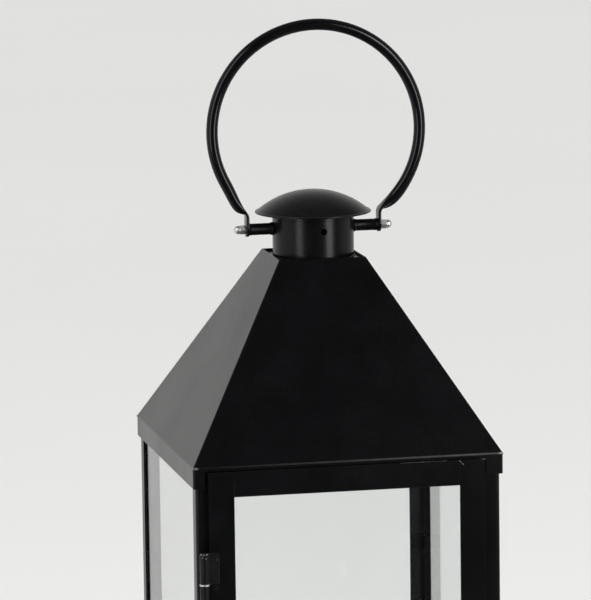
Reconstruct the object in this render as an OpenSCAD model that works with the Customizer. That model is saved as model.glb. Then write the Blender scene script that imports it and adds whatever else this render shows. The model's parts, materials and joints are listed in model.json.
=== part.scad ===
// Candle lantern: a square glazed body with a hinged front door, a pyramid roof with a round
// chimney and domed cap, and a ring handle that swings on a threaded rod.
// Millimetres. Z is up, the front is -Y, and the origin is the centre of the flat base.

/* [Body] */
// Width and depth over the roof's eave and over the base
eave_w = 280; // [270:1:300]
// Height of the fold between the roof's slope and its skirt
eave_z = 420; // [400:1:460]
// Thickness of the sheet steel
sheet_t = 1.2; // [1:0.1:1.4]
// Width of a corner post's front or back leg
post_leg_w = 19.5; // [18:0.5:20]
// Depth of a corner post's side leg
post_leg_d = 15; // [13:0.5:17]

/* [Roof] */
// Height of the sloping part of the roof
roof_h = 166.2; // [150:0.2:180]
// Width of the flat square at the roof's top
roof_top_w = 79.6; // [78:0.2:86]
// Height of the upright skirt round the eave and of the base's walls
skirt_h = 18.6; // [16:0.2:20]
// Height of the lip that is left over the door and under it
door_lip = 3.4; // [3:0.1:5]

/* [Chimney and cap] */
// Outside diameter of the round chimney
collar_d = 73.5; // [72:0.1:75]
// Diameter of the vent holes at the chimney's front and back
vent_d = 5.8; // [5:0.1:7]
// Diameter of the domed cap
cap_d = 105; // [100:0.5:108]
// Height of the domed cap
cap_h = 20.4; // [18:0.2:24]

/* [Handle] */
// Radius of the ring's centre line
ring_r = 95.5; // [92:0.5:99]
// Diameter of the ring's tube
ring_d = 10.5; // [10:0.1:11]
// Height of the ring's centre over the handle's axis
ring_rise = 87.8; // [86:0.1:89]
// Distance of the ring's centre to the right of the middle, from bending by hand
ring_shift = 4; // [0:4:4]
// Height of the handle's axis over the roof's flat top
axis_rise = 23.5; // [22:0.1:25]
// Distance from the middle to the middle of each flattened end
ear_x = 60.75; // [60:0.05:62]

/* [Door] */
// Width of a door stile
stile_w = 22.9; // [22:0.1:24]
// Height of the door's top and bottom rails
door_rail_h = 22.7; // [21:0.1:25]
// Depth of the door frame
door_depth = 5.3; // [5:0.1:6]
// Thickness of the panes
glass_t = 3; // [2.5:0.1:3]

/* [Hinges] */
// Outside diameter of a hinge knuckle
knuckle_d = 8.6; // [8.2:0.1:9]
// Length of a hinge knuckle
knuckle_len = 28; // [25:0.5:32]
// Diameter of a hinge pin
hinge_pin_d = 4.5; // [4:0.1:5]

/* [Hidden] */
$fn = 96;
HULL_FN = 32;
BLACK = [0.035, 0.036, 0.04];
ZINC = [0.78, 0.79, 0.8];
CLEAR = [0.85, 0.92, 0.92, 0.3];

// Small gaps between neighbouring pieces
seat_gap = 0.1;
running_gap = 0.05;
slip_gap = 0.3;

// Body
body_w = 275 + (eave_w - 280);
half_eave = eave_w / 2;
half_body = body_w / 2;
wall_x = half_eave - sheet_t;
post_top = eave_z - 0.5;
bend_r = 2;
rail_h = 15;
rail_w = 13.5;
post_inner_w = half_body - post_leg_w;
post_inner_d = half_body - post_leg_d;

// Fixed panes: they rest on low ridges along the inner edges of the posts
pane_inset = 2;
pane_outer = half_body - pane_inset;
pane_inner = pane_outer - glass_t;
post_ridge = pane_inset - seat_gap;
channel_gap = 0.3;
channel_h = 12;
pane_low = 2 * sheet_t + seat_gap;
pane_high = eave_z - 6;
clip_t = 1;
clip_h = 12;
clip_reach = 13;
clip_z = [133, 287];

// Roof, chimney and cap
roof_top = eave_z + roof_h;
roof_slope = (half_eave - roof_top_w / 2) / roof_h;
roof_inset = sheet_t * sqrt(1 + roof_slope * roof_slope);
top_recess = 2.4;
vent_turn = 3.6;
axis_z = roof_top + axis_rise;
collar_r = collar_d / 2;
collar_low = roof_top - 6;
collar_high = axis_z + 9.5;
cap_rim = axis_z + 13.8;
cap_sphere_r = (pow(cap_d / 2, 2) + pow(cap_h, 2)) / (2 * cap_h);
cap_sphere_z = cap_rim + cap_h - cap_sphere_r;
cap_t = 1.2;
sleeve_low = collar_high - 6;
sleeve_high = cap_sphere_z + sqrt(pow(cap_sphere_r - cap_t, 2) - pow(collar_r, 2)) - 0.2;

// Handle
rod_d = 5;
ear_t = 2.9;
ear_w = 13;
ear_top = 13.3;
arc_half = 130;
ring_z = axis_z + ring_rise;
spacer_d = 10.5;
spacer_end = ear_x - ear_t / 2 - seat_gap;
nut_start = ear_x + ear_t / 2 + seat_gap;
nut_hex_w = 8.8;
nut_hex_h = 5.4;
nut_dome_d = 7.5;
nut_len = 10.6;
rod_half = nut_start + 8;

// Door: it stands in front of the posts and closes against their front legs
door_back = -half_body - 0.5;
door_face = door_back - door_depth;
door_left = -127;
door_right = 122.6;
door_low = door_lip + 0.4;
door_high = eave_z - door_lip - 0.4;
notch_left = -129.8;
notch_right = 124.2;
glass_overlap = 6;
door_glass_face = door_face + sheet_t + running_gap;
door_glass_back = door_glass_face + glass_t;
window_left = door_left + stile_w;
window_right = door_right - stile_w;
window_low = door_low + door_rail_h;
window_high = door_high - door_rail_h;

// Hinges
hinge_x = door_left - knuckle_d / 2 - 0.3;
hinge_y = -half_body - knuckle_d / 2 - 0.5;
hinge_z = [103.7, 316.3];
leaf_t = 1.6;
leaf_right = -118.7;
saddle_w = 5;
washer_t = 1.6;
washer_gap = 0.1;
pin_up = 18;

// Latch
latch_x = 111;
latch_z = 212;
spindle_d = 4;
spindle_hole_d = spindle_d + 2 * running_gap;
latch_washer_t = 0.9;
knob_back = door_face - latch_washer_t - 2 * running_gap;
knob_len = 11;
tongue_face = -half_body + sheet_t + 1.6;
tongue_t = 1.5;
tongue_w = 7;
tongue_len = 14;
latch_nut_w = 8.1;
latch_nut_t = 3.2;

// Candle plate
plate_r = 60;
plate_rim_h = 7;
rivet_d = 6;

// ---- Helpers ----

// A box between two opposite corners
module block(low, high) {
    translate(low) cube(high - low);
}

// A cylinder along X, Y or Z from one place to another
module bar_x(d, x0, x1, y, z) {
    translate([x0, y, z]) rotate([0, 90, 0]) cylinder(d = d, h = x1 - x0);
}

module bar_y(d, y0, y1, x, z) {
    translate([x, y0, z]) rotate([-90, 0, 0]) cylinder(d = d, h = y1 - y0);
}

module bar_z(d, z0, z1, x, y) {
    translate([x, y, z0]) cylinder(d = d, h = z1 - z0);
}

// A square frustum that stands on z
module frustum(z, h, low_w, high_w) {
    translate([0, 0, z]) linear_extrude(height = h, scale = high_w / low_w) square(low_w, center = true);
}

function roof_half(z) = half_eave - roof_slope * (z - eave_z);

// ---- Base ----

// A folded tray; its front wall is cut down to a lip between the two corner tabs
module base_pan() {
    color(BLACK) difference() {
        block([-half_eave, -half_eave, 0], [half_eave, half_eave, skirt_h]);
        block([-wall_x, -wall_x, sheet_t], [wall_x, wall_x, skirt_h + 1]);
        block([notch_left, -half_eave - 1, door_lip], [notch_right, -wall_x + 1, skirt_h + 1]);
    }
}

// A shallow round dish for a pillar candle
module candle_plate() {
    color(BLACK) translate([0, 0, sheet_t]) difference() {
        cylinder(r = plate_r, h = plate_rim_h);
        translate([0, 0, sheet_t]) cylinder(r = plate_r - sheet_t, h = plate_rim_h);
        translate([0, 0, -1]) cylinder(d = rivet_d + 2 * running_gap, h = 4);
    }
}

module candle_plate_rivet() {
    color(ZINC) translate([0, 0, sheet_t + running_gap]) {
        cylinder(d = rivet_d, h = sheet_t);
        translate([0, 0, sheet_t]) cylinder(d = 2 * rivet_d, h = sheet_t);
    }
}

// ---- Corner posts ----

// A rectangle whose outer corner, at the origin, is rounded
module rounded_corner(w, d, r) {
    translate([-w, -d]) square([w - r, d]);
    translate([-w, -d]) square([w, d - r]);
    translate([-r, -r]) circle(r = r);
}

// An angle with a low ridge along its side leg's edge, and along its face leg's if face_ridge is true
module post_section(face_ridge) {
    difference() {
        rounded_corner(post_leg_w, post_leg_d, bend_r + sheet_t);
        translate([-sheet_t, -sheet_t]) rounded_corner(post_leg_w, post_leg_d, bend_r);
    }
    translate([-post_ridge, -post_leg_d]) square([post_ridge, sheet_t]);
    if (face_ridge) translate([-post_leg_w, -post_ridge]) square([sheet_t, post_ridge]);
}

// side_x is 1 for a right post or -1 for a left post, side_y is 1 at the back or -1 in front
module corner_post(side_x, side_y) {
    color(BLACK) scale_mirror(side_x, side_y) translate([half_body, half_body, sheet_t])
        linear_extrude(height = post_top - sheet_t) post_section(side_y > 0);
}

module scale_mirror(side_x, side_y) {
    mirror([side_x < 0 ? 1 : 0, 0, 0]) mirror([0, side_y < 0 ? 1 : 0, 0]) children();
}

// ---- Rails and channels ----

// An angle along the top of a side: an upright leg outside and a level leg inwards
module top_rail(half_len) {
    color(BLACK) {
        block([-half_len, half_body - sheet_t, post_top - rail_h], [half_len, half_body, post_top]);
        block([-half_len, half_body - rail_w, post_top - sheet_t],
              [half_len, half_body - sheet_t, post_top]);
    }
}

// A plain strip that closes the gap under the door and backs its lower edge
module sill_front() {
    color(BLACK)
        block([-post_inner_w + seat_gap, -half_body, sheet_t],
              [post_inner_w - seat_gap, -half_body + sheet_t, sheet_t + rail_h]);
}

// A channel on the base that holds a pane's lower edge
module pane_channel(half_len) {
    outer = pane_outer + channel_gap + sheet_t;
    inner = pane_inner - channel_gap - sheet_t;
    color(BLACK) difference() {
        block([-half_len, inner, sheet_t], [half_len, outer, sheet_t + channel_h]);
        block([-half_len - 1, inner + sheet_t, 2 * sheet_t],
              [half_len + 1, outer - sheet_t, sheet_t + channel_h + 1]);
    }
}

// ---- Fixed panes ----

module glass_side(side_x) {
    color(CLEAR) scale_mirror(side_x, 1)
        block([pane_inner, -half_body + 2, pane_low], [pane_outer, half_body - 2, pane_high]);
}

module glass_back() {
    back_half = pane_inner - clip_t - 4.2;
    color(CLEAR) block([-back_half, pane_inner, pane_low], [back_half, pane_outer, pane_high]);
}

// A folded clip in a corner: one leg holds the side pane and one holds the back pane
module corner_clip(with_back_leg) {
    leg_x = pane_inner - seat_gap - clip_t;
    leg_end = pane_inner - seat_gap - clip_reach;
    block([leg_x, leg_end + 2, -clip_h / 2], [leg_x + clip_t, half_body - sheet_t, clip_h / 2]);
    if (with_back_leg)
        block([leg_end, leg_x, -clip_h / 2], [leg_x + clip_t, leg_x + clip_t, clip_h / 2]);
}

module corner_clips(side_y) {
    color(ZINC) for (side_x = [-1, 1], z = clip_z)
        translate([0, 0, z]) scale_mirror(side_x, side_y) corner_clip(side_y > 0);
}

// ---- Door ----

// A stile is an angle: a flat face, and a return along the door's outer edge
module door_stile(outer_x, inner_x) {
    edge_x = outer_x < 0 ? outer_x : outer_x - sheet_t;
    color(BLACK) {
        block([min(outer_x, inner_x), door_face, door_low],
              [max(outer_x, inner_x), door_face + sheet_t, door_high]);
        block([edge_x, door_face + sheet_t, door_low], [edge_x + sheet_t, door_back, door_high]);
    }
}

module door_stile_latch() {
    difference() {
        door_stile(door_right, window_right);
        bar_y(spindle_hole_d, door_face - 1, door_face + sheet_t + 1, latch_x, latch_z);
    }
}

// A rail fits between the stiles, with its return along the door's top or bottom edge
module door_rail(outer_z, inner_z) {
    edge_z = outer_z < inner_z ? outer_z : outer_z - sheet_t;
    color(BLACK) {
        block([window_left, door_face, min(outer_z, inner_z)],
              [window_right, door_face + sheet_t, max(outer_z, inner_z)]);
        block([window_left, door_face + sheet_t, edge_z], [window_right, door_back, edge_z + sheet_t]);
    }
}

module door_glass() {
    color(CLEAR)
        block([window_left - glass_overlap, door_glass_face, window_low - glass_overlap],
              [window_right + glass_overlap, door_glass_back, window_high + glass_overlap]);
}

// A Z-shaped clip: foot on the frame, riser past the pane's edge, finger behind the pane.
// It is drawn for a pane whose edge is at x = 0 and that lies on the -x side.
module z_clip() {
    foot_face = door_face + sheet_t;
    finger_face = door_glass_back + seat_gap;
    block([0.6, foot_face, -clip_h / 2], [6, foot_face + clip_t, clip_h / 2]);
    block([0.6, foot_face, -clip_h / 2], [0.6 + clip_t, finger_face + clip_t, clip_h / 2]);
    block([-4.5, finger_face, -clip_h / 2], [0.6 + clip_t, finger_face + clip_t, clip_h / 2]);
}

module door_glass_clips() {
    middle_x = (window_left + window_right) / 2;
    middle_z = (window_low + window_high) / 2;
    edge_x = (window_right - window_left) / 2 + glass_overlap;
    edge_z = (window_high - window_low) / 2 + glass_overlap;
    color(ZINC) for (side = [-1, 1], along = [-1, 1]) {
        translate([middle_x, 0, middle_z + along * 110]) mirror([side < 0 ? 1 : 0, 0, 0])
            translate([edge_x, 0, 0]) z_clip();
        translate([middle_x + along * 55, 0, middle_z + side * edge_z]) rotate([0, -side * 90, 0])
            z_clip();
    }
}

// ---- Hinges ----

// The upper knuckle is blind, with a domed top, and its leaf lies on the door's face
module hinge_leaf_door(z) {
    dome = 2;
    low = z + washer_t / 2 + washer_gap;
    high = low + knuckle_len;
    color(BLACK) difference() {
        union() {
            bar_z(knuckle_d, low, high - dome, hinge_x, hinge_y);
            translate([hinge_x, hinge_y, high - dome])
                cylinder(d1 = knuckle_d, d2 = knuckle_d - 2.4, h = dome);
            block([hinge_x, door_face - leaf_t, low], [leaf_right, door_face - seat_gap, high]);
        }
        bar_z(hinge_pin_d + 2 * running_gap, low - 1, low + pin_up + 1, hinge_x, hinge_y);
    }
}

// The lower knuckle stands on a saddle that is welded to the post's face
module hinge_leaf_post(z) {
    high = z - washer_t / 2 - seat_gap;
    low = high - knuckle_len;
    color(BLACK) difference() {
        union() {
            bar_z(knuckle_d, low, high, hinge_x, hinge_y);
            block([hinge_x - saddle_w / 2, hinge_y, low],
                  [hinge_x + saddle_w / 2, -half_body - running_gap, high]);
        }
        bar_z(hinge_pin_d + 0.04, low - 1, high + 1, hinge_x, hinge_y);
    }
}

module hinge_pins() {
    color(ZINC) for (z = hinge_z)
        bar_z(hinge_pin_d, z - knuckle_len + 1, z + pin_up, hinge_x, hinge_y);
}

module hinge_washers() {
    color(ZINC) for (z = hinge_z) difference() {
        bar_z(knuckle_d + 0.4, z - washer_t / 2, z + washer_t / 2, hinge_x, hinge_y);
        bar_z(hinge_pin_d + 0.3, z - washer_t, z + washer_t, hinge_x, hinge_y);
    }
}

// ---- Latch ----

// An oval thumb-turn; it stands upright when the tongue is clear of the post
module latch_knob() {
    color(BLACK) difference() {
        union() {
            bar_y(11, knob_back - 4, knob_back, latch_x, latch_z);
            hull() for (side = [-1, 1])
                translate([latch_x, knob_back, latch_z + side * 6]) rotate([90, 0, 0])
                    translate([0, 0, 3.5]) cylinder(d1 = 8, d2 = 6.5, h = knob_len - 3.5, $fn = HULL_FN);
        }
        bar_y(spindle_d + 0.04, knob_back - 8, knob_back + 1, latch_x, latch_z);
    }
}

module latch_spindle() {
    color(ZINC) bar_y(spindle_d, knob_back - 7.5, tongue_face + tongue_t + latch_nut_t + 1, latch_x, latch_z);
}

module latch_washer() {
    color(ZINC) difference() {
        bar_y(12, door_face - running_gap - latch_washer_t, door_face - running_gap, latch_x, latch_z);
        bar_y(spindle_d + 0.3, door_face - 3, door_face + 1, latch_x, latch_z);
    }
}

// At rest the tongue points down, clear of the post; a quarter turn puts it behind the post
module latch_tongue() {
    color(ZINC) difference() {
        union() {
            block([latch_x - tongue_w / 2, tongue_face, latch_z - tongue_len],
                  [latch_x + tongue_w / 2, tongue_face + tongue_t, latch_z]);
            bar_y(tongue_w, tongue_face, tongue_face + tongue_t, latch_x, latch_z);
        }
        bar_y(spindle_d + 0.04, tongue_face - 1, tongue_face + tongue_t + 1, latch_x, latch_z);
    }
}

module latch_nut() {
    start = tongue_face + tongue_t + 0.02;
    color(ZINC) difference() {
        translate([latch_x, start, latch_z]) rotate([-90, 0, 0])
            cylinder(d = latch_nut_w, h = latch_nut_t, $fn = 6);
        bar_y(spindle_d + 0.04, start - 1, start + latch_nut_t + 1, latch_x, latch_z);
    }
}

// ---- Roof ----

// Four slopes and a skirt; the skirt's front is cut down to a lip between two corner tabs
module roof_shell() {
    cut = 2;
    color(BLACK) difference() {
        union() {
            frustum(eave_z, roof_h, eave_w, roof_top_w);
            block([-half_eave, -half_eave, eave_z - skirt_h], [half_eave, half_eave, eave_z + 0.01]);
        }
        frustum(eave_z, roof_h + cut, eave_w - 2 * roof_inset, 2 * (roof_half(roof_top + cut) - roof_inset));
        block([-wall_x, -wall_x, eave_z - skirt_h - 1], [wall_x, wall_x, eave_z]);
        block([notch_left, -half_eave - 1, eave_z - skirt_h - 1],
              [notch_right, -wall_x + 0.5, eave_z - door_lip]);
    }
}

// The flat square that closes the roof round the chimney, set a little below the slopes' edges
module roof_top_plate() {
    plate_w = 2 * (roof_half(roof_top - top_recess) - roof_inset - seat_gap);
    color(BLACK) translate([0, 0, roof_top - top_recess - sheet_t]) difference() {
        linear_extrude(height = sheet_t) square(plate_w, center = true);
        translate([0, 0, -1]) cylinder(r = collar_r + running_gap, h = 4);
    }
}

// The chimney: a tube with a vent hole in front and behind, and a rod hole in each side
module chimney_collar() {
    color(BLACK) difference() {
        bar_z(collar_d, collar_low, collar_high, 0, 0);
        bar_z(collar_d - 2 * sheet_t, collar_low - 1, collar_high + 1, 0, 0);
        bar_x(rod_d + 0.2, -collar_d, collar_d, 0, axis_z);
        rotate([0, 0, vent_turn]) bar_y(vent_d, -collar_d, collar_d, 0, axis_z);
    }
}

// The cap's neck: it plugs into the chimney, and its upper part is as wide as the chimney
module cap_sleeve() {
    inner_r = collar_r - 2 * sheet_t - running_gap;
    color(BLACK) difference() {
        union() {
            bar_z(2 * (collar_r - sheet_t - running_gap), sleeve_low, collar_high + 1, 0, 0);
            bar_z(collar_d, collar_high + 0.3, sleeve_high, 0, 0);
        }
        bar_z(2 * inner_r, sleeve_low - 1, sleeve_high + 1, 0, 0);
    }
}

// A pressed spherical cap that overhangs the chimney
module dome_cap() {
    color(BLACK) difference() {
        intersection() {
            translate([0, 0, cap_sphere_z]) sphere(r = cap_sphere_r, $fn = 180);
            bar_z(2 * cap_d, cap_rim, cap_rim + cap_h + 1, 0, 0);
        }
        translate([0, 0, cap_sphere_z]) sphere(r = cap_sphere_r - cap_t, $fn = 180);
    }
}

// ---- Handle ----

module handle_rod() {
    color(ZINC) bar_x(rod_d, -rod_half, rod_half, 0, axis_z);
}

// A short tube that holds the ring's flattened end away from the chimney
module spacer(side_x) {
    color(BLACK) scale_mirror(side_x, 1) difference() {
        bar_x(spacer_d, collar_r - 2, spacer_end, 0, axis_z);
        bar_x(rod_d + 0.2, collar_r - 4, spacer_end + 1, 0, axis_z);
        bar_z(collar_d + 0.1, axis_z - spacer_d, axis_z + spacer_d, 0, 0);
    }
}

// The stretch where the round tube is pressed flat, between the arc's end and the ear
module flattened_end(shift) {
    hull() {
        translate([shift, 0, ring_z]) rotate([90, 0, 0]) rotate([0, 0, 90 - arc_half]) translate([ring_r, 0, 0])
            rotate([90, 0, 0]) cylinder(d = ring_d, h = 0.2, center = true, $fn = HULL_FN);
        block([ear_x - ear_t / 2, -ear_w / 2, axis_z + ear_top - 0.5],
              [ear_x + ear_t / 2, ear_w / 2, axis_z + ear_top]);
    }
}

module ring_ear() {
    block([ear_x - ear_t / 2, -ear_w / 2, axis_z], [ear_x + ear_t / 2, ear_w / 2, axis_z + ear_top]);
    bar_x(ear_w, ear_x - ear_t / 2, ear_x + ear_t / 2, 0, axis_z);
}

// The carrying ring: a bent tube whose two ends are pressed flat and drilled for the rod
module ring_handle() {
    color(BLACK) difference() {
        union() {
            translate([ring_shift, 0, ring_z]) rotate([90, 0, 0]) rotate([0, 0, 90 - arc_half])
                rotate_extrude(angle = 2 * arc_half, $fn = 180) translate([ring_r, 0]) circle(d = ring_d);
            for (side_x = [-1, 1]) scale_mirror(side_x, 1) {
                flattened_end(side_x * ring_shift);
                ring_ear();
            }
        }
        bar_x(rod_d + 2 * running_gap, -2 * ear_x, 2 * ear_x, 0, axis_z);
    }
}

// A hexagonal nut with a closed round cap
module cap_nut(side_x) {
    color(ZINC) scale_mirror(side_x, 1) difference() {
        union() {
            translate([nut_start, 0, axis_z]) rotate([0, 90, 0])
                cylinder(d = nut_hex_w, h = nut_hex_h, $fn = 6);
            bar_x(nut_dome_d, nut_start, nut_start + nut_len - nut_dome_d / 2, 0, axis_z);
            translate([nut_start + nut_len - nut_dome_d / 2, 0, axis_z]) sphere(d = nut_dome_d);
        }
        bar_x(rod_d + 0.04, nut_start - 1, rod_half + 0.2, 0, axis_z);
    }
}

// ---- Nodes ----

base_pan();
candle_plate();
candle_plate_rivet();
corner_post(-1, -1);  // post_front_left
corner_post(1, -1);  // post_front_right
corner_post(-1, 1);  // post_back_left
corner_post(1, 1);  // post_back_right
mirror([0, 1, 0]) top_rail(post_inner_w - seat_gap);  // rail_top_front
top_rail(post_inner_w - seat_gap);  // rail_top_back
rotate([0, 0, 90]) top_rail(post_inner_d - seat_gap);  // rail_top_left
rotate([0, 0, -90]) top_rail(post_inner_d - seat_gap);  // rail_top_right
sill_front();
pane_channel(post_inner_w - seat_gap);  // channel_back
rotate([0, 0, 90]) pane_channel(post_inner_d - seat_gap);  // channel_left
rotate([0, 0, -90]) pane_channel(post_inner_d - seat_gap);  // channel_right
glass_side(-1);  // glass_left
glass_side(1);  // glass_right
glass_back();
corner_clips(-1);  // corner_clips_front
corner_clips(1);  // corner_clips_back
door_stile(door_left, window_left);  // door_stile_hinge
door_stile_latch();
door_rail(door_high, window_high);  // door_rail_top
door_rail(door_low, window_low);  // door_rail_bottom
door_glass();
door_glass_clips();
hinge_leaf_door(hinge_z[1]);  // hinge_leaf_door_upper
hinge_leaf_door(hinge_z[0]);  // hinge_leaf_door_lower
hinge_leaf_post(hinge_z[1]);  // hinge_leaf_post_upper
hinge_leaf_post(hinge_z[0]);  // hinge_leaf_post_lower
hinge_pins();
hinge_washers();
latch_knob();
latch_spindle();
latch_tongue();
latch_nut();
latch_washer();
roof_shell();
roof_top_plate();
chimney_collar();
cap_sleeve();
dome_cap();
handle_rod();
spacer(-1);  // spacer_left
spacer(1);  // spacer_right
ring_handle();
cap_nut(-1);  // cap_nut_left
cap_nut(1);  // cap_nut_right
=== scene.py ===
"""A black steel candle lantern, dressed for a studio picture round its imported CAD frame."""

import json
import math

import bmesh
import bpy
from mathutils import Matrix, Vector, noise


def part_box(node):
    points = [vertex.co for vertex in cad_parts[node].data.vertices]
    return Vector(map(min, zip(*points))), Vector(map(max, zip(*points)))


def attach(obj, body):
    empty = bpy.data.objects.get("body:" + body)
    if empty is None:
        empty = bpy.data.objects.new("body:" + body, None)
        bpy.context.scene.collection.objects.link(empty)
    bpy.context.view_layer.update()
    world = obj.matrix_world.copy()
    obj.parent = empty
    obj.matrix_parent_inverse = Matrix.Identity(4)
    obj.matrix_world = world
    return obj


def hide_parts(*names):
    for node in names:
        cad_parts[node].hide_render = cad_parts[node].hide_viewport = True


MM = 0.001
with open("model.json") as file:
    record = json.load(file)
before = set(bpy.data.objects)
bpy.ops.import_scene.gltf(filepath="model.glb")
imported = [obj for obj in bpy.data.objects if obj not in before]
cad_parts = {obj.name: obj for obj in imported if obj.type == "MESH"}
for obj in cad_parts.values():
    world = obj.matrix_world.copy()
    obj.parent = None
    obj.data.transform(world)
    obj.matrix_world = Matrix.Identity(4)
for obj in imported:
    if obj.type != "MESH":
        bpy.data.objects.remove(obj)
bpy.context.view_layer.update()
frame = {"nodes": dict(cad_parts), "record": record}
NODES = frame["nodes"]
scene = bpy.context.scene

SHEET = 1.2 * MM            # thickness of the sheet steel
WEAR_R = 0.9 * MM           # how far rubbed paint reaches from an edge
RANGE_SOCKETS = ("From Min", "From Max", "To Min", "To Max")


# ---- Places taken from the frame ----

def low(node):
    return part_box(node)[0]


def high(node):
    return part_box(node)[1]


def middle(node):
    return (low(node) + high(node)) / 2


AXIS_Z = middle("handle_rod").z
COLLAR_R = high("chimney_collar").x
EAVE_HALF = high("roof_shell").x
EAVE_Z = high("post_front_left").z + 0.5 * MM
DOOR_FACE = low("door_rail_top").y


# ---- Material recipes ----

class Recipe:
    """A material's node tree, with short calls for the nodes that these recipes use."""

    def __init__(self, name):
        self.material = bpy.data.materials.new(name)
        self.material.use_nodes = True
        self.tree = self.material.node_tree
        self.shader = self.tree.nodes["Principled BSDF"]
        self.where = self.tree.nodes.new("ShaderNodeTexCoord").outputs["Object"]

    def node(self, kind, **settings):
        made = self.tree.nodes.new(kind)
        for key, value in settings.items():
            setattr(made, key, value)
        return made

    def link(self, source, target):
        self.tree.links.new(source, target)

    def feed(self, socket, source):
        self.link(source, self.shader.inputs[socket])

    def noise(self, scale, detail=4.0, rough=0.55, stretch=(1, 1, 1)):
        """Noise in the object's own space; scale is in cells per metre."""
        mapping = self.node("ShaderNodeMapping")
        mapping.inputs["Scale"].default_value = stretch
        texture = self.node("ShaderNodeTexNoise")
        texture.inputs["Scale"].default_value = scale
        texture.inputs["Detail"].default_value = detail
        texture.inputs["Roughness"].default_value = rough
        self.link(self.where, mapping.inputs["Vector"])
        self.link(mapping.outputs["Vector"], texture.inputs["Vector"])
        return texture.outputs["Fac"]

    def cells(self, scale):
        """Voronoi distance in the object's own space."""
        texture = self.node("ShaderNodeTexVoronoi")
        texture.inputs["Scale"].default_value = scale
        self.link(self.where, texture.inputs["Vector"])
        return texture.outputs["Distance"]

    def span(self, value, from_low, from_high, to_low=0.0, to_high=1.0):
        """Maps a value from one range to another, clamped."""
        remap = self.node("ShaderNodeMapRange")
        for key, number in zip(RANGE_SOCKETS, (from_low, from_high, to_low, to_high)):
            remap.inputs[key].default_value = number
        self.link(value, remap.inputs["Value"])
        return remap.outputs["Result"]

    def math(self, operation, first, second):
        """A Math node; each input is a number or another node's output."""
        made = self.node("ShaderNodeMath", operation=operation)
        for socket, value in zip(made.inputs, (first, second)):
            if isinstance(value, (int, float)):
                socket.default_value = value
            else:
                self.link(value, socket)
        return made.outputs["Value"]

    def blend(self, factor, first, second):
        """Mixes two colours, or the outputs that carry them, by a factor."""
        mix = self.node("ShaderNodeMix", data_type="RGBA")
        for key, value in (("A", first), ("B", second)):
            socket = [s for s in mix.inputs if s.name == key and s.type == "RGBA"][0]
            if isinstance(value, tuple):
                socket.default_value = (*value, 1)
            else:
                self.link(value, socket)
        self.link(factor, mix.inputs["Factor"])
        return [s for s in mix.outputs if s.type == "RGBA"][0]

    def edges(self, radius):
        """0 on flat faces and 1 along sharp edges, from a rounded copy of the normal."""
        rounded = self.node("ShaderNodeBevel", samples=4)
        rounded.inputs["Radius"].default_value = radius
        plain = self.node("ShaderNodeNewGeometry")
        dot = self.node("ShaderNodeVectorMath", operation="DOT_PRODUCT")
        self.link(rounded.outputs["Normal"], dot.inputs[0])
        self.link(plain.outputs["Normal"], dot.inputs[1])
        return self.span(dot.outputs["Value"], 0.995, 0.80)

    def bump(self, height, strength, distance, under=None):
        """Adds one layer of bump, over an earlier one if it is given."""
        layer = self.node("ShaderNodeBump")
        layer.inputs["Strength"].default_value = strength
        layer.inputs["Distance"].default_value = distance
        self.link(height, layer.inputs["Height"])
        if under:
            self.link(under, layer.inputs["Normal"])
        self.feed("Normal", layer.outputs["Normal"])
        return layer.outputs["Normal"]

    def set(self, **values):
        """Sets constant values on the shader's own sockets; underscores stand for spaces."""
        for key, value in values.items():
            self.shader.inputs[key.replace("_", " ")].default_value = value


def fold_highlight_and_wear(r, fold_z):
    """Light steel colour along the roof's fold: a painted highlight that grows towards the right, and bare
    steel fully at the corners.
    """
    place = r.node("ShaderNodeSeparateXYZ")
    r.link(r.where, place.inputs["Vector"])
    above = r.span(place.outputs["Z"], fold_z + 0.3 * MM, fold_z + 1.0 * MM, 1, 0)
    below = r.span(place.outputs["Z"], fold_z - 1.2 * MM, fold_z - 0.6 * MM, 0, 1)
    # Painted highlight: from none at the left end of the fold to a fifth at the right end.
    highlight_and_rubbing = r.span(place.outputs["X"], -EAVE_HALF, EAVE_HALF, 0, 0.2)
    highlight_and_rubbing = r.math("MULTIPLY", highlight_and_rubbing, r.span(r.noise(45, 4, 0.6), 0.35, 0.6, 0.65, 1))
    near_end = [r.span(r.math("ABSOLUTE", place.outputs[axis], 0), EAVE_HALF - 5 * MM, EAVE_HALF - 2.5 * MM)
                for axis in "XY"]
    highlight_and_rubbing = r.math("MAXIMUM", highlight_and_rubbing, r.math("MULTIPLY", *near_end))
    return r.math("MULTIPLY", r.math("MULTIPLY", above, below), highlight_and_rubbing)


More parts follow.
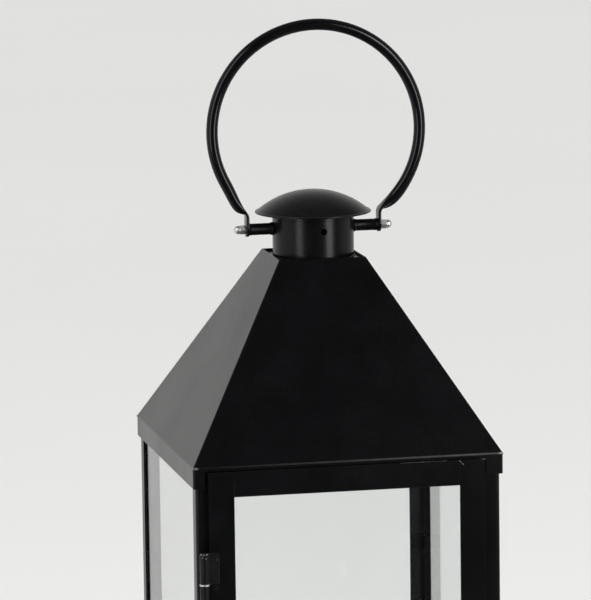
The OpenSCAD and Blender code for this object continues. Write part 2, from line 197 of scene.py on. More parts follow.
def black_paint(name, rough, peel, wear, tint=(0.0030, 0.0030, 0.0036), specular=0.3, fold_z=None,
                patch=(11, 0.035)):
    """Sprayed and baked black paint: mottling, specks of dust, uneven gloss, orange peel and rubbed edges.

    patch is the scale of the gloss patches, and how far they are from the mean roughness.
    fold_z is the height of a fold that gets a painted highlight, brighter towards the right, and bare steel
    at its corners."""
    r = Recipe(name)
    mottle = r.span(r.noise(32, 5), 0.35, 0.7)
    specks = r.span(r.cells(420), 0.06, 0.10, 1, 0)
    rare = r.math("MULTIPLY", specks, r.span(r.noise(55, 1), 0.62, 0.66))
    colour = r.blend(mottle, tint, tuple(c * 1.7 for c in tint))
    colour = r.blend(r.math("MULTIPLY", rare, 0.16), colour, (0.05, 0.05, 0.05))
    rubbed = r.math("MULTIPLY", r.edges(WEAR_R), r.span(r.noise(140, 5, 0.65), 0.42, 0.62, 0.25, 1))
    rubbed = r.math("MULTIPLY", rubbed, wear)
    colour = r.blend(rubbed, colour, (0.075, 0.073, 0.072))
    if fold_z:
        # A painted highlight along the roof's fold, brighter towards the right, with bare steel at the
        # corners.
        fold_highlight_and_bare = fold_highlight_and_wear(r, fold_z)
        r.feed("Metallic", r.math("MULTIPLY", fold_highlight_and_bare, 0.6))
        colour = r.blend(fold_highlight_and_bare, colour, (0.35, 0.35, 0.355))
    r.feed("Base Color", colour)
    patch_scale, patch_change = patch
    gloss = r.span(r.noise(patch_scale, 3), 0.3, 0.7, rough - patch_change, rough + patch_change)
    fine = r.span(r.noise(500, 2), 0.3, 0.7, -0.02, 0.02)
    r.feed("Roughness", r.math("SUBTRACT", r.math("ADD", gloss, fine), r.math("MULTIPLY", rubbed, 0.10)))
    waves = r.bump(r.noise(70, 1), 0.06, 0.5 * MM)
    r.bump(r.noise(800, 2), peel, 0.1 * MM, under=waves)
    r.set(Specular_IOR_Level=specular, IOR=1.5)
    return r.material


def plated_metal(name, colour, rough, grain):
    """Zinc or nickel plate: a metal with fine grain, slight yellowing, streaky gloss, and colour darkened
    along its edges and creases.
    """
    r = Recipe(name)
    warmer = (colour[0] * 0.97, colour[1] * 0.93, colour[2] * 0.84)
    stain = r.span(r.noise(260, 5), 0.45, 0.75)
    # Darker colour along edges and in creases.
    edge_and_crease_darkening = r.math("MULTIPLY", r.edges(0.4 * MM), 0.3)
    r.feed("Base Color", r.blend(edge_and_crease_darkening, r.blend(stain, colour, warmer), tuple(c * 0.6 for c in colour)))
    r.feed("Roughness", r.span(r.noise(900, 3, stretch=(1, 1, 3)), 0.3, 0.7, rough * 0.7, rough * 1.4))
    r.bump(r.noise(1500, 2), grain, 0.05 * MM)
    r.set(Metallic=1.0)
    return r.material


def clear_glass(name):
    """Float glass with a faint smear."""
    r = Recipe(name)
    smear = r.noise(14, 3)
    r.feed("Roughness", r.span(smear, 0.45, 0.8, 0.0, 0.01))
    r.feed("Base Color", r.blend(r.span(smear, 0.3, 0.7), (0.985, 1.0, 0.995), (0.98, 0.997, 0.992)))
    r.set(Transmission_Weight=1.0, IOR=1.5)
    return r.material


def black_nylon(name):
    """Moulded black nylon."""
    r = Recipe(name)
    r.feed("Base Color", r.blend(r.noise(400, 3), (0.012, 0.012, 0.013), (0.026, 0.026, 0.027)))
    r.feed("Roughness", r.span(r.noise(300), 0.3, 0.7, 0.45, 0.6))
    r.bump(r.noise(1500), 0.1, 0.05 * MM)
    return r.material


def pale_floor(name):
    """Plain pale matt paint that lets a reflected ray pass, so that the floor doesn't show in reflections."""
    r = Recipe(name)
    drift = r.span(r.noise(0.6, 2), 0.3, 0.7)
    r.feed("Base Color", r.blend(drift, (0.800, 0.797, 0.785), (0.815, 0.812, 0.80)))
    r.feed("Roughness", r.span(r.noise(2.0), 0.3, 0.7, 0.75, 0.9))
    r.set(Specular_IOR_Level=0.1)
    mirrored = r.math("GREATER_THAN", r.node("ShaderNodeLightPath").outputs["Glossy Depth"], 0.5)
    choose = r.node("ShaderNodeMixShader")
    r.link(mirrored, choose.inputs["Fac"])
    r.link(r.shader.outputs["BSDF"], choose.inputs[1])
    r.link(r.node("ShaderNodeBsdfTransparent").outputs["BSDF"], choose.inputs[2])
    r.link(choose.outputs["Shader"], r.tree.nodes["Material Output"].inputs["Surface"])
    return r.material


MATERIALS = {
    "black_paint": black_paint("paint_body", 0.25, 0.05, 0.25),
    "door_paint": black_paint("paint_door", 0.245, 0.05, 0.14, specular=0.27),
    "cap_paint": black_paint("paint_cap", 0.27, 0.03, 0.1, specular=0.29),
    "handle_paint": black_paint("paint_handle", 0.14, 0.05, 0.3, specular=0.32),
    "fitting_paint": black_paint("paint_fittings", 0.36, 0.25, 0.5, tint=(0.005, 0.005, 0.006), specular=0.28,
                                 patch=(70, 0.12)),
    "roof_paint": black_paint("paint_roof", 0.25, 0.05, 0.25, fold_z=EAVE_Z),
    "spacer_paint": black_paint("paint_spacers", 0.40, 0.10, 0.2, specular=0.2),
    "clip_paint": black_paint("paint_clips", 0.32, 0.15, 0.2, specular=0.2),
    # Light weld metal for spatter; also the painted highlight bead along the door's top edge.
    "bare_weld": black_paint("paint_welds_and_edge_highlight", 0.22, 0.25, 1.0, tint=(0.02, 0.02, 0.021), specular=0.9),
    "weld_steel": plated_metal("weld_steel", (0.22, 0.22, 0.225), 0.32, 0.15),
    "zinc_steel": plated_metal("zinc_steel", (0.56, 0.56, 0.54), 0.34, 0.15),
    "bright_plate": plated_metal("bright_plate", (0.95, 0.95, 0.94), 0.44, 0.08),
    "nylon": black_nylon("nylon"),
    "glass": clear_glass("float_glass"),
}
# The record's slot for each material above that isn't a slot of its own.
SLOT_OF = {s["node"]: s["material_slot"] for s in frame["record"]["subparts"]}
for name, piece in NODES.items():
    piece.data.materials.clear()
    piece.data.materials.append(MATERIALS[SLOT_OF[name]])


# ---- Softer edges on the CAD nodes ----

def soften(node, radius, segments=3, angle=28):
    """Rounds a CAD node's sharp edges with modifiers, so that they catch the light."""
    piece = NODES[node]
    weld = piece.modifiers.new("weld", "WELD")
    weld.merge_threshold = 1e-6
    flat = piece.modifiers.new("flat", "DECIMATE")
    flat.decimate_type = "DISSOLVE"
    flat.angle_limit = math.radians(0.5)
    edge = piece.modifiers.new("edge", "BEVEL")
    edge.width = radius
    edge.segments = segments
    edge.limit_method = "ANGLE"
    edge.angle_limit = math.radians(angle)
    normals = piece.modifiers.new("normals", "WEIGHTED_NORMAL")
    normals.keep_sharp = True


for name in ("base_pan", "roof_top_plate"):
    soften(name, 0.5 * MM)
for name in NODES:
    if name.startswith(("post_", "rail_", "sill_", "channel_")):
        soften(name, 0.35 * MM)
    if name.startswith(("door_stile", "door_rail")):
        soften(name, 0.06 * MM, 2)
    if name.startswith(("hinge_leaf", "corner_clips", "door_glass_clips", "latch_tongue", "latch_nut")):
        soften(name, 0.3 * MM, 2)
    if name in ("glass_left", "glass_right", "glass_back", "door_glass"):
        soften(name, 0.4 * MM, 2)
        NODES[name].visible_shadow = False
soften("chimney_collar", 0.35 * MM, 2, 40)
soften("latch_knob", 0.8 * MM, 3, 35)
soften("hinge_washers", 0.2 * MM, 2, 40)
soften("candle_plate", 0.4 * MM, 2, 40)


# ---- Mesh helpers ----

def skin(rings, looped=False, capped=False):
    """A mesh through rings of points; a ring of zero size becomes a single point."""
    bm = bmesh.new()
    rows = [[bm.verts.new(p) for p in ring] for ring in rings]
    pairs = list(zip(rows, rows[1:])) + ([(rows[-1], rows[0])] if looped else [])
    for first, second in pairs:
        for i in range(len(first)):
            j = (i + 1) % len(first)
            bm.faces.new((first[i], first[j], second[j], second[i]))
    if capped:
        bm.faces.new(list(reversed(rows[0])))
        bm.faces.new(rows[-1])
    bmesh.ops.remove_doubles(bm, verts=bm.verts, dist=1e-7)
    bmesh.ops.recalc_face_normals(bm, faces=bm.faces)
    return bm


def publish(bm, name, slot, body, replaces=(), crease=35):
    """Turns a bmesh into a piece with the material of its slot, under its body."""
    limit = math.radians(crease)
    for face in bm.faces:
        face.smooth = True
    for edge in bm.edges:
        edge.smooth = len(edge.link_faces) != 2 or edge.calc_face_angle(0) < limit
    mesh = bpy.data.meshes.new(name)
    bm.to_mesh(mesh)
    bm.free()
    mesh.materials.append(MATERIALS[slot])
    piece = bpy.data.objects.new(name, mesh)
    scene.collection.objects.link(piece)
    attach(piece, body)
    if replaces:
        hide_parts(*replaces)
    return piece


def lathe_rings(profile, origin, axis, count, shape=None):
    """Rings for (along, radius) pairs round an axis; shape(along, radius, angle) may change the radius."""
    axis = Vector(axis)
    side = axis.orthogonal().normalized() if abs(axis.z) > 0.5 else Vector((0, 0, 1))
    other = axis.cross(side)
    rings = []
    for along, radius in profile:
        ring = []
        for k in range(count):
            angle = 2 * math.pi * k / count
            reach = shape(along, radius, angle) if shape else radius
            outward = side * math.cos(angle) + other * math.sin(angle)
            ring.append(Vector(origin) + axis * along + outward * reach)
        rings.append(ring)
    return rings


def arc(centre, radius, start, end, count):
    """Points (x, y) on an arc, with angles in degrees."""
    for k in range(count + 1):
        turn = math.radians(start + (end - start) * k / count)
        yield centre[0] + radius * math.cos(turn), centre[1] + radius * math.sin(turn)


def cut(piece, bm_cutter):
    """Subtracts a closed bmesh from a piece, for good."""
    mesh = bpy.data.meshes.new("cutter")
    bm_cutter.to_mesh(mesh)
    bm_cutter.free()
    cutter = bpy.data.objects.new("cutter", mesh)
    scene.collection.objects.link(cutter)
    step = piece.modifiers.new("cut", "BOOLEAN")
    step.object = cutter
    step.solver = "EXACT"
    result = bpy.data.meshes.new_from_object(piece.evaluated_get(bpy.context.evaluated_depsgraph_get()))
    piece.modifiers.clear()
    piece.data = result
    bpy.data.objects.remove(cutter)


# ---- Roof: one folded sheet with bent edges ----

def square_ring(half, corner, z, steps=6):
    """Points round a square with rounded corners, at one height."""
    ring = []
    centre = (half - corner, half - corner)
    for quarter in range(4):
        turn = Matrix.Rotation(math.pi / 2 * quarter, 3, "Z")
        ring += [turn @ Vector((x, y, z)) for x, y in arc(centre, corner, 0, 90, steps)]
    return ring


def box_mesh(low_corner, high_corner):
    """A closed box between two corners."""
    bm = bmesh.new()
    bmesh.ops.create_cube(bm, size=1.0)
    size = high_corner - low_corner
    for vert in bm.verts:
        vert.co = low_corner + Vector([size[i] * (vert.co[i] + 0.5) for i in range(3)])
    return bm


def roof_profile(half, foot, top):
    """(half width, corner radius, height) round the sheet's section: up its outside and down its inside."""
    top_half = 39.8 * MM
    bend = 3.2 * MM
    hem = 0.3 * MM
    skirt_corner = 2.2 * MM
    slope_corner = 1.4 * MM
    lean = (half - top_half) / (top - EAVE_Z)
    fold = math.atan(lean)
    inset = SHEET * math.sqrt(1 + lean * lean)
    profile = [(half - hem, skirt_corner, foot), (half, skirt_corner, foot + hem)]
    centre_z = EAVE_Z - bend * math.tan(fold / 2)
    for x, z in arc((half - bend, centre_z), bend, 0, math.degrees(fold), 7):
        climbed = (z - centre_z) / (bend * math.sin(fold))
        profile.append((x, skirt_corner - (skirt_corner - slope_corner) * climbed, z))
    profile += [(top_half + hem * lean, slope_corner, top - hem),
                (top_half - hem, 1.2 * MM, top),
                (top_half - inset + hem, 0.8 * MM, top),
                (top_half - inset + hem * lean, 0.6 * MM, top - hem),
                (half - inset, 0.6 * MM, EAVE_Z - 0.2 * MM),
                (half - SHEET, 1.6 * MM, EAVE_Z - 1.2 * MM),
                (half - SHEET, 1.6 * MM, foot + hem),
                (half - SHEET + hem, 1.9 * MM, foot)]
    return profile


def make_roof():
    """The four slopes and the skirt, with a bend along the eave and a notch over the door."""
    roof_low, roof_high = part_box("roof_shell")
    rings = [square_ring(*ring) for ring in roof_profile(roof_high.x, roof_low.z, roof_high.z)]
    piece = publish(skin(rings, looped=True), "roof_sheet", "roof_paint", "lantern", ["roof_shell"], 40)
    door_low = low("door_stile_hinge")
    door_high = high("door_stile_latch")
    notch_low = Vector((door_low.x - 2.8 * MM, roof_low.y - 1 * MM, roof_low.z - 6.4 * MM))
    notch_high = Vector((door_high.x + 1.6 * MM, roof_low.y + SHEET + 0.5 * MM, door_high.z + 0.4 * MM))
    cut(piece, box_mesh(notch_low, notch_high))
    edge = piece.modifiers.new("edge", "BEVEL")
    edge.width = 0.25 * MM
    edge.segments = 2
    edge.limit_method = "ANGLE"
    edge.angle_limit = math.radians(60)
    piece.modifiers.new("normals", "WEIGHTED_NORMAL").keep_sharp = True


# ---- Ring handle: a bent tube whose ends are crimped flat ----

RING_R = 95.5 * MM          # centre line
RING_TUBE = 5.25 * MM       # the tube's own radius
RING_Z = AXIS_Z + 87.8 * MM
RING_SHIFT = 4 * MM         # the ring stands to the right of the middle, bent by hand
EAR_X = 60.75 * MM
EAR_HALF_T = 1.45 * MM
EAR_HALF_W = 6.5 * MM
EAR_HOLE_R = 2.55 * MM
EAR_SQUARE = 6.0            # superellipse power of a pressed section; a round one has 2
LEG_START = 118             # degrees from the top, where the tube leaves the circle


def bezier(points, t):
    """A point on a cubic Bezier curve."""
    a, b, c, d = points
    s = 1 - t
    return a * s ** 3 + b * 3 * s * s * t + c * 3 * s * t * t + d * t ** 3


def ring_stations(shift):
    """(inner point, outer point, half width, squareness) from the ring's top down one side."""
    stations = []
    centre = Vector((shift, RING_Z))
    for k in range(48):
        turn = math.radians(LEG_START * k / 47)
        out = Vector((math.sin(turn), math.cos(turn)))
        stations.append((centre + out * (RING_R - RING_TUBE), centre + out * (RING_R + RING_TUBE),
                         RING_TUBE, 2.0))
    turn = math.radians(LEG_START)
    down = Vector((math.cos(turn), -math.sin(turn)))
    in_start, out_start = stations[-1][:2]
    crimp = Vector((EAR_X + 1.7 * MM, AXIS_Z + 15.2 * MM))
    slant = Vector((-0.6, -0.8))
    across = Vector((-0.8, 0.6)) * EAR_HALF_T
    in_end, out_end = crimp + across, crimp - across
    inner = (in_start, in_start + down * 14 * MM, in_end - slant * 8 * MM, in_end)
    outer = (out_start, out_start + down * 24 * MM, out_end + Vector((10.0, 0.6)) * MM, out_end)
    steps = 18
    press_start = 0.35
    for k in range(1, steps + 1):
        t = k / steps
        press = max(0.0, (t - press_start) / (1 - press_start)) ** 2
        half_w = RING_TUBE + (EAR_HALF_W - RING_TUBE) * press
        stations.append((bezier(inner, t), bezier(outer, t), half_w, 2.0 + (EAR_SQUARE - 2.0) * press))
    leg_z = AXIS_Z + 10.6 * MM
    in_x, out_x = EAR_X - EAR_HALF_T, EAR_X + EAR_HALF_T
    leg_in, leg_out = Vector((in_x, leg_z)), Vector((out_x, leg_z))
    inner = (in_end, in_end + slant * 2.2 * MM, leg_in + Vector((0, 2.0 * MM)), leg_in)
    outer = (out_end, out_end + slant * 1.4 * MM, leg_out + Vector((0, 1.4 * MM)), leg_out)
    for k in range(1, 7):
        stations.append((bezier(inner, k / 6), bezier(outer, k / 6), EAR_HALF_W, EAR_SQUARE))
    for k in range(1, 5):
        z = leg_z + (AXIS_Z - leg_z) * k / 4
        stations.append((Vector((in_x, z)), Vector((out_x, z)), EAR_HALF_W, EAR_SQUARE))
    for k in range(1, 9):
        fall = math.radians(88 * k / 8)
        z = AXIS_Z - EAR_HALF_W * math.sin(fall)
        stations.append((Vector((in_x, z)), Vector((out_x, z)), EAR_HALF_W * math.cos(fall), EAR_SQUARE))
    return stations


def ring_section(inner, outer, half_w, square, mirror):
    """A superellipse between the two outline points, as wide as the tube or the ear."""
    middle_point, half = (inner + outer) / 2, (outer - inner) / 2
    ring = []
    for k in range(32):
        angle = 2 * math.pi * k / 32
        c, s = math.cos(angle), math.sin(angle)
        a = math.copysign(abs(c) ** (2 / square), c)
        b = math.copysign(abs(s) ** (2 / square), s)
        spot = middle_point + half * a
        ring.append(Vector((spot.x * mirror, half_w * b, spot.y)))
    return ring


def make_ring_handle():
    """The whole ring from its left ear to its right one, with a hole through each ear."""
    left = [ring_section(*s, -1) for s in reversed(ring_stations(-RING_SHIFT)[1:])]
    right = [ring_section(*s, 1) for s in ring_stations(RING_SHIFT)]
    piece = publish(skin(left + right, capped=True), "ring_tube", "handle_paint", "handle", ["ring_handle"])
    reach = 3 * MM
    drill = [(-reach, 0), (-reach, EAR_HOLE_R), (reach, EAR_HOLE_R), (reach, 0)]
    for mirror in (-1, 1):
        cut(piece, skin(lathe_rings(drill, (EAR_X * mirror, 0, AXIS_Z), (1, 0, 0), 32)))


# ---- Cap nuts and spacers ----

def side_name(side):
    return "right" if side > 0 else "left"


def make_cap_nut(side):
    """A closed hexagonal nut with chamfered corners and a round cap."""
    node = "cap_nut_" + side_name(side)
    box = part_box(node)
    length = box[1].x - box[0].x
    face = box[0].x if side > 0 else box[1].x
    corner = 4.4 * MM
    dome_r = 3.75 * MM
    hex_h = 5.4 * MM
    bore_r = 2.52 * MM
    bore_end = 8.2 * MM

    def hexagon(along, radius, angle):
        """Gives the wide part six sides, and leaves the bore and the cap round."""
        if along > hex_h + 0.01 * MM or radius <= bore_r + 0.08 * MM:
            return radius
        flat = corner * math.cos(math.pi / 6) / math.cos((angle + math.pi / 6) % (math.pi / 3) - math.pi / 6)
        return min(flat, radius)

    profile = [(bore_end, 0), (bore_end, bore_r), (0, bore_r), (0, dome_r), (0.18 * MM, 4.05 * MM),
               (0.45 * MM, corner), (0.9 * MM, corner), (hex_h - 0.9 * MM, corner),
               (hex_h - 0.45 * MM, corner), (hex_h - 0.15 * MM, 4.1 * MM), (hex_h, 3.85 * MM),
               (hex_h + 0.1 * MM, 3.6 * MM), (hex_h + 0.45 * MM, 3.55 * MM), (hex_h + 0.6 * MM, dome_r)]
    profile += arc((length - dome_r, 0), dome_r, 90, 0, 10)
    rings = lathe_rings(profile, (face, 0, AXIS_Z), (side, 0, 0), 72, hexagon)
    publish(skin(rings), "acorn_nut_" + side_name(side), "bright_plate", "lantern", [node], 25)


def make_spacer(side):
    """A short tube, welded to the chimney, with a turned lip at the ring's ear."""
    node = "spacer_" + side_name(side)
    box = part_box(node)
    start = COLLAR_R - 1.15 * MM
    end = max(abs(box[0].x), abs(box[1].x))
    reach = end - start
    bore_r = 2.6 * MM
    tube_r = 5.22 * MM
    lip_r = 5.45 * MM
    weld_end = 4.3 * MM

    def lumpy(along, radius, angle):
        """Makes the weld round the tube's inner end uneven."""
        if along > weld_end - 0.1 * MM or radius < 4 * MM:
            return radius
        spot = Vector((along * 700, math.cos(angle) * 3.1, math.sin(angle) * 3.1 + side * 5))
        return radius + 0.35 * MM * noise.noise(spot)

    profile = [(0, bore_r), (0, 5.4 * MM), (1.2 * MM, 5.8 * MM), (2.0 * MM, 5.9 * MM), (2.7 * MM, 5.75 * MM),
               (3.2 * MM, 5.5 * MM), (3.9 * MM, 5.3 * MM), (weld_end, tube_r)]
    profile += [(reach - 2.4 * MM, tube_r), (reach - 2.1 * MM, 5.36 * MM), (reach - 1.8 * MM, lip_r),
                (reach - 0.4 * MM, lip_r), (reach - 0.1 * MM, 5.35 * MM), (reach, 5.1 * MM), (reach, bore_r)]
    rings = lathe_rings(profile, (start * side, 0, AXIS_Z), (side, 0, 0), 64, lumpy)
    publish(skin(rings, looped=True), "spacer_tube_" + side_name(side), "spacer_paint", "lantern", [node], 40)


# ---- Domed cap ----

def make_dome():
    """A pressed dome with a thin rolled edge."""
    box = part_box("dome_cap")
    rim_r, rim_z, top_z = box[1].x, box[0].z, box[1].z
    rise = top_z - rim_z
    sphere_r = (rim_r ** 2 + rise ** 2) / (2 * rise)
    centre_z = top_z - sphere_r
    edge = math.degrees(math.asin(rim_r / sphere_r))
    roll_r = 0.75 * MM
    outer = list(arc((centre_z, 0), sphere_r, 0, edge - 1.6, 46))
    roll = [(z, r) for r, z in arc((rim_r - roll_r, rim_z + roll_r), roll_r, 62, -190, 14)]
    inner = list(arc((centre_z, 0), sphere_r - SHEET, edge - 2.0, 0, 40))
    rings = lathe_rings(outer + roll + inner, (0, 0, 0), (0, 0, 1), 128)
    publish(skin(rings), "cap_dome", "cap_paint", "lantern", ["dome_cap"], 50)


# ---- Weld beads and spots ----

def bead(name, path, radius, slot, body, closed=False, pitch=1.4 * MM, seed=0.0):
    """A small rippled weld bead along a path of points."""
    rings, travelled = [], 0.0
    count = len(path)
    for i, spot in enumerate(path):
        before = path[i - 1] if closed or i else spot
        after = path[(i + 1) % count] if closed or i + 1 < count else spot
        along = (after - before).normalized()
        travelled += (spot - before).length if i else 0.0
        upright = abs(along.z) > 0.9
        u = (along.orthogonal() if upright else along.cross(Vector((0, 0, 1)))).normalized()
        v = along.cross(u)
        taper = 1.0 if closed else min(1.0, 0.35 + min(i, count - 1 - i) * 0.3)
        ripple = 0.2 * abs(math.sin(math.pi * travelled / pitch))
        lumps = 0.25 * noise.noise(spot * 900 + Vector((seed, 0, 0)))
        reach = radius * taper * (1 + ripple + lumps)
        rings.append([spot + (u * math.cos(a) + v * math.sin(a)) * reach
                      for a in (2 * math.pi * k / 8 for k in range(8))])
    publish(skin(rings, looped=closed, capped=not closed), name, slot, body, crease=60)


def line(start, end, step=0.35 * MM):
    """Evenly spaced points between two points."""
    start, end = Vector(start), Vector(end)
    count = max(4, int((end - start).length / step))
    return [start.lerp(end, k / count) for k in range(count + 1)]


def circle(radius, z, count=420):
    """Evenly spaced points round the lantern's axis."""
    return [Vector((radius * math.cos(a), radius * math.sin(a), z))
            for a in (2 * math.pi * k / count for k in range(count))]


def spatter(name, spots, slot, body):
    """Small flattened lumps of weld metal; each spot is (place, radius, way it faces)."""
    bm = bmesh.new()
    for place, radius, facing in spots:
        facing = Vector(facing).normalized()
        lump = bmesh.ops.create_icosphere(bm, subdivisions=3, radius=radius)["verts"]
        for vert in lump:
            spot = vert.co * (1 + 0.3 * noise.noise(vert.co / radius * 1.3 + Vector(place) * 5000))
            vert.co = Vector(place) + spot - facing * spot.dot(facing) * 0.45
    publish(bm, name, slot, body, crease=80)


def front_spots(x, face, z, offsets):
    """Spots on a face that looks to the front; each offset is (right, up, radius) in millimetres."""
    return [((x + right * MM, face, z + up * MM), radius * MM, (0, -1, 0)) for right, up, radius in offsets]


def door_welds():
    """Weld marks on the front of the door at the top rail's joints and in a corner, and a painted highlight
    along its top edge, made as a thin light bead.
    """
    rail_low, rail_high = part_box("door_rail_top")
    left, right = rail_low.x, rail_high.x
    bottom, top = rail_low.z, rail_high.z
    # Each mark: its start and end, in millimetres right of and above the rail's top right corner, and radius.
    marks = (("diagonal", (-0.8, 0.0), (3.6, -4.6), 0.4, "weld_steel"),
             ("corner", (19.0, -0.1), (23.4, -0.1), 0.45, "weld_steel"),
             # The edge mark is no weld: a thin light bead that paints the highlight along the rail's top
             # edge.
             ("edge", (-54.0, 0.0), (-11.0, 0.0), 0.22, "bare_weld"))
    for mark, start, end, radius, finish in marks:
        ends = [(right + x * MM, DOOR_FACE, top + z * MM) for x, z in (start, end)]
        bead("weld_door_" + mark, line(*ends), radius * MM, finish, "door", seed=3.0)
    left_joint = ((-0.3, 3.1, 0.45), (0.2, 6.4, 0.6), (-0.5, 9.2, 0.4), (0.4, 13.8, 0.5), (-0.2, 17.5, 0.38),
                  (1.6, 10.9, 0.3))
    right_joint = ((0.1, 9.5, 0.35), (-0.2, 15.0, 0.3), (7.5, 8.0, 0.3))
    spots = front_spots(left, DOOR_FACE, bottom, left_joint)
    spots += front_spots(right, DOOR_FACE, bottom, right_joint)
    spatter("spatter_door", spots, "door_paint", "door")


def hinge_welds(which):
    """Beads and spots on a door leaf, drops on its knuckle, and beads along the post knuckle's saddle."""
    leaf_low, leaf_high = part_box("hinge_leaf_door_" + which)
    edge = leaf_high.x
    top, bottom = leaf_high.z - 2 * MM, leaf_low.z
    side_path = line((edge, DOOR_FACE, bottom + 1.5 * MM), (edge, DOOR_FACE, top - 1 * MM))
    top_path = line((edge - 0.5 * MM, DOOR_FACE, top), (edge - 6 * MM, DOOR_FACE, top))
    bead(f"weld_leaf_{which}_side", side_path, 0.5 * MM, "fitting_paint", "door", seed=7.0 + bottom * 50)
    bead(f"weld_leaf_{which}_top", top_path, 0.5 * MM, "fitting_paint", "door", seed=9.0 + bottom * 50)

    knuckle_r = 4.3 * MM
    axis_x, axis_y = leaf_low.x + knuckle_r, leaf_low.y + knuckle_r
    # Each drop: degrees round the knuckle from its front, millimetres under its top, and radius.
    on_knuckle = ((-50, 1.2, 0.6), (-14, 1.4, 0.65), (22, 1.1, 0.6), (-32, 4.1, 0.5), (8, 4.6, 0.6))
    drops = []
    for turn, under, radius in on_knuckle:
        out = Vector((math.sin(math.radians(turn)), -math.cos(math.radians(turn)), 0))
        place = (axis_x + out.x * knuckle_r, axis_y + out.y * knuckle_r, leaf_high.z - under * MM)
        drops.append((place, radius * MM, tuple(out)))
    spatter(f"spatter_knuckle_{which}", drops, "zinc_steel", "door")

    plate_face = DOOR_FACE - 1.62 * MM
    on_plate = ((-2.0, 21.5, 0.5), (-4.1, 17.0, 0.35), (-1.4, 9.0, 0.4), (-3.3, 4.5, 0.3))
    under_plate = ((-1.2, -1.3, 0.35), (-3.0, -2.6, 0.45), (-0.6, -4.4, 0.3), (-2.2, -5.8, 0.4),
                   (-4.4, -5.0, 0.35))
    spots = front_spots(edge, plate_face, bottom, on_plate)
    spots += front_spots(edge, DOOR_FACE, bottom, under_plate)
    spatter(f"spatter_leaf_{which}", spots, "bare_weld", "door")

    post_low, post_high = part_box("hinge_leaf_post_" + which)
    saddle_face = low("post_front_left").y - 0.15 * MM
    for mark, x in (("in", 2.5), ("out", -2.5)):
        at = (axis_x + x * MM, saddle_face)
        path = line((*at, post_low.z + 1 * MM), (*at, post_high.z - 1 * MM))
        bead(f"weld_post_{which}_{mark}", path, 0.55 * MM, "fitting_paint", "lantern", seed=11.0 + x)


def chimney_weld():
    """A bead round the chimney's foot, on the flat top."""
    path = circle(COLLAR_R + 0.15 * MM, high("roof_top_plate").z + 0.1 * MM)
    bead("weld_chimney", path, 0.75 * MM, "cap_paint", "lantern", closed=True)


def eave_spatter():
    """A lump of weld metal on each corner of the eave."""
    corner = EAVE_HALF - 0.5 * MM
    spots = [((x * corner, y * corner, EAVE_Z - 0.3 * MM), 1.1 * MM, (x, y, 0.6))
             for x in (-1, 1) for y in (-1, 1)]
    spatter("spatter_eave", spots, "weld_steel", "lantern")


make_roof()
make_ring_handle()
for hand in (-1, 1):
    make_cap_nut(hand)
    make_spacer(hand)
make_dome()
chimney_weld()
door_welds()
for which in ("upper", "lower"):
    hinge_welds(which)
eave_spatter()


# ---- Camera, at the photograph's viewing angle ----

def make_camera():
    """A long lens that looks down a little, from 12 degrees to the left of the front."""
    azimuth = math.radians(-11.768)
    elevation = math.radians(8.768)
    roll = math.radians(-0.787)
    target = Vector((-0.0171, 0, 0.5436))
    distance = 4.521
    back = Vector((math.sin(azimuth) * math.cos(elevation),
                   -math.cos(azimuth) * math.cos(elevation), math.sin(elevation)))
    right = (-back).cross(Vector((0, 0, 1))).normalized()
    up = right.cross(-back)
    rolled_right = right * math.cos(roll) + up * math.sin(roll)
    rolled_up = up * math.cos(roll) - right * math.sin(roll)
    data = bpy.data.cameras.new("camera")
    data.lens = 300
    data.sensor_width = 36
    data.clip_end = 200
    camera = bpy.data.objects.new("camera", data)
    camera.matrix_world = Matrix.Translation(target + back * distance) @ Matrix(
        (rolled_right, rolled_up, back)).transposed().to_4x4()
    scene.collection.objects.link(camera)
    scene.camera = camera


# ---- Studio ----

def make_floor():
    """A wide pale floor. It doesn't show in reflections, as if the lantern stood at a dark table's edge."""
    mesh = bpy.data.meshes.new("floor")
    half = 60
    corners = [(-half, -half, 0), (half, -half, 0), (half, half, 0), (-half, half, 0)]
    mesh.from_pydata(corners, [], [(0, 1, 2, 3)])
    floor = bpy.data.objects.new("floor", mesh)
    mesh.materials.append(pale_floor("floor_paint"))
    scene.collection.objects.link(floor)


def soft_box(name, azimuth, distance, height, width, tall, radiance, aim_z):
    """An area light at an azimuth round the lantern (0 is the front), aimed at its axis."""
    data = bpy.data.lights.new(name, "AREA")
    data.shape = "RECTANGLE"
    data.size = width
    data.size_y = tall
    data.energy = radiance * math.pi * width * tall
    lamp = bpy.data.objects.new(name, data)
    turn = math.radians(azimuth)
    lamp.location = (distance * math.sin(turn), -distance * math.cos(turn), height)
    lamp.rotation_mode = "QUATERNION"
    lamp.rotation_quaternion = (Vector((0, 0, aim_z)) - lamp.location).to_track_quat("-Z", "Y")
    lamp.visible_camera = False
    scene.collection.objects.link(lamp)


def make_sun(strength, elevation):
    """An even, very soft light from behind, which lifts the floor and adds no gloss."""
    data = bpy.data.lights.new("skylight", "SUN")
    data.energy = strength
    data.angle = math.radians(50)
    lamp = bpy.data.objects.new("skylight", data)
    lamp.rotation_euler = (math.radians(-(90 - elevation)), 0, 0)
    lamp.visible_glossy = False
    scene.collection.objects.link(lamp)


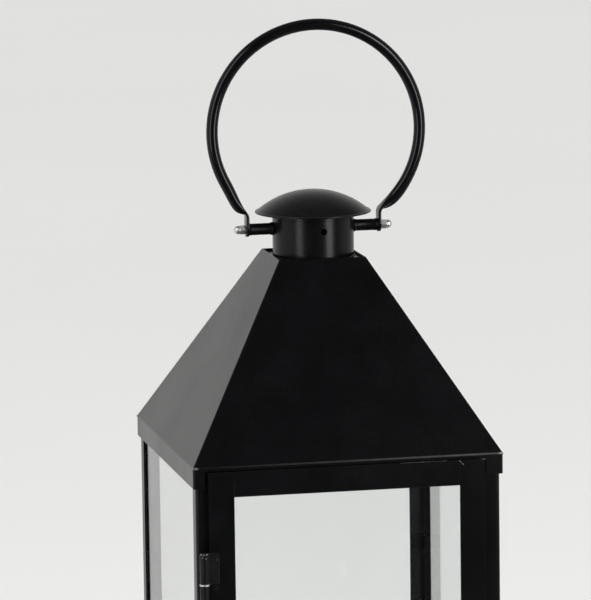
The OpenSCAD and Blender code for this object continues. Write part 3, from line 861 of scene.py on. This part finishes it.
def make_world():
    """A pale surround. In reflections it is bright beside and behind the lantern and dim in front of and over
    it; straight from the camera, or through clear glass, it has one even strength."""
    world = bpy.data.worlds.new("studio")
    scene.world = world
    world.use_nodes = True
    nodes, links = world.node_tree.nodes, world.node_tree.links
    backdrop = 0.79

    def ramp(source, from_low, from_high, to_low, to_high):
        made = nodes.new("ShaderNodeMapRange")
        made.interpolation_type = "SMOOTHSTEP"
        for key, number in zip(RANGE_SOCKETS, (from_low, from_high, to_low, to_high)):
            made.inputs[key].default_value = number
        links.new(source, made.inputs["Value"])
        return made.outputs["Result"]

    def combine(operation, first, second):
        made = nodes.new("ShaderNodeMath")
        made.operation = operation
        for socket, value in zip(made.inputs, (first, second)):
            if isinstance(value, float):
                socket.default_value = value
            else:
                links.new(value, socket)
        return made.outputs["Value"]

    where = nodes.new("ShaderNodeTexCoord")
    split = nodes.new("ShaderNodeSeparateXYZ")
    links.new(where.outputs["Generated"], split.inputs["Vector"])
    beside = ramp(split.outputs["Y"], -0.6, -0.15, 0.03, 0.5)
    behind = ramp(split.outputs["Y"], 0.4, 0.9, 0.0, 0.18)
    around = combine("ADD", beside, behind)
    sided = combine("MULTIPLY", around, ramp(split.outputs["X"], -1.0, 1.0, 1.12, 0.84))
    over = ramp(split.outputs["Z"], 0.15, 0.9, 1.0, 0.36)
    seen = nodes.new("ShaderNodeLightPath")
    bounced = combine("ADD", seen.outputs["Glossy Depth"], seen.outputs["Diffuse Depth"])
    through = combine("MULTIPLY", seen.outputs["Is Transmission Ray"], combine("LESS_THAN", bounced, 0.5))
    direct = combine("MAXIMUM", seen.outputs["Is Camera Ray"], through)
    mix = nodes.new("ShaderNodeMix")
    links.new(direct, mix.inputs["Factor"])
    links.new(combine("MULTIPLY", sided, over), mix.inputs["A"])
    mix.inputs["B"].default_value = backdrop
    background = nodes["Background"]
    background.inputs["Color"].default_value = (1.0, 0.998, 0.985, 1)
    links.new(mix.outputs["Result"], background.inputs["Strength"])


make_camera()
make_floor()
make_world()
make_sun(strength=2.8, elevation=55)
soft_box("box_left", azimuth=-51, distance=2.3, height=1.3, width=0.75, tall=2.9, radiance=3.0, aim_z=0.6)
soft_box("box_right", azimuth=35, distance=2.3, height=0.95, width=0.75, tall=1.6, radiance=5.6, aim_z=0.6)
soft_box("strip_front", azimuth=29, distance=2.6, height=1.55, width=0.8, tall=0.7, radiance=3.6, aim_z=0.42)
scene.view_settings.view_transform = "Standard"
